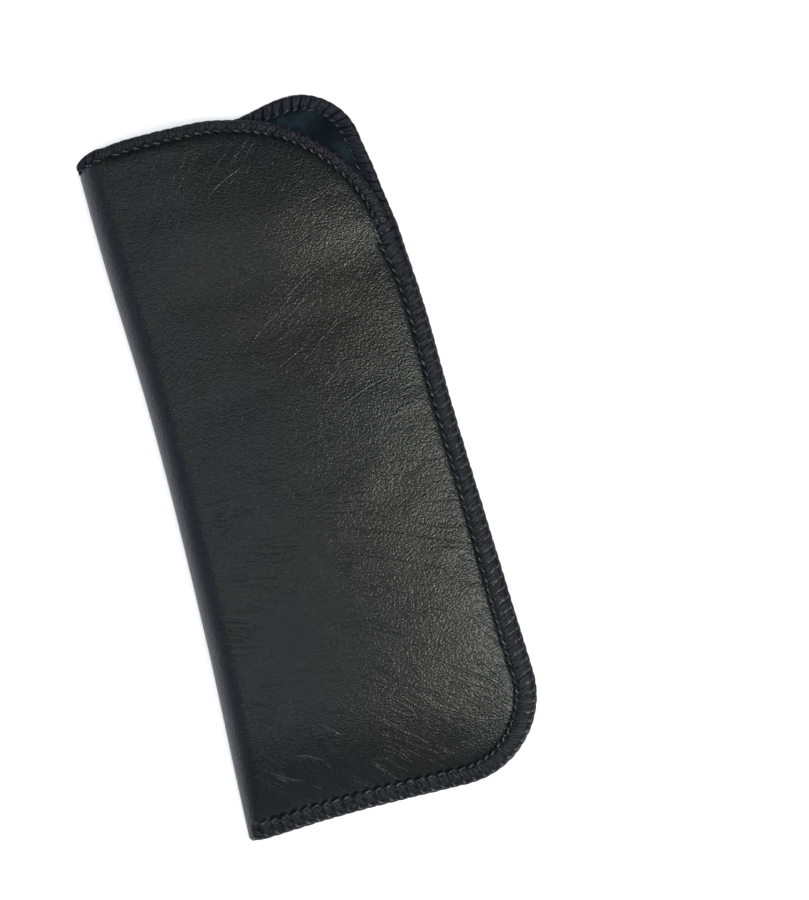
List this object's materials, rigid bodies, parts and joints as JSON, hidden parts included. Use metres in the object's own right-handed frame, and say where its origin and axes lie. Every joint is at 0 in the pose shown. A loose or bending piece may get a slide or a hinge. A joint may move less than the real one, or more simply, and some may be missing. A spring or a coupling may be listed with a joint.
{
  "type": "soft glasses case",
  "caption": "Soft slip-in pouch for glasses: padded vinyl folded along one edge, overlocked along the others, with an open curved mouth at one end and a taller back lobe.",
  "frame": {"origin": "centre of the case's outline, on the plane that its back panel lies on", "axes": "+X from the fold to the closing seam, +Y from the bottom seam to the mouth, +Z from the back panel to the front panel"},
  "size_m": [0.0736, 0.165, 0.0143],
  "materials": {
    "cover": "soft vinyl with a fine pebble grain, satin",
    "foam": "matt dark grey open-cell foam interlining",
    "lining": "short velour pile",
    "thread": "twisted polyester thread with a slight sheen"
  },
  "bodies": {
    "case": {"outer_cover": "cover", "foam_padding": "foam", "lining": "lining", "closing_needle_thread": "thread", "closing_upper_looper_thread": "thread", "closing_lower_looper_thread": "thread", "mouth_needle_thread": "thread", "mouth_upper_looper_thread": "thread", "mouth_lower_looper_thread": "thread"},
    "front_lip": {"lip_cover": "cover", "lip_foam": "foam", "lip_lining": "lining", "lip_needle_thread": "thread", "lip_upper_looper_thread": "thread", "lip_lower_looper_thread": "thread"}
  },
  "joints": [
    {"name": "lip_flex", "type": "hinge", "parent": "case", "child": "front_lip", "pos_m": [-0.0293, 0.081, 0.0144], "axis": [0.8745, -0.4793, -0.0737], "range_deg": [0, 50], "stiffness_Nm_per_rad": 0.004}
  ]
}
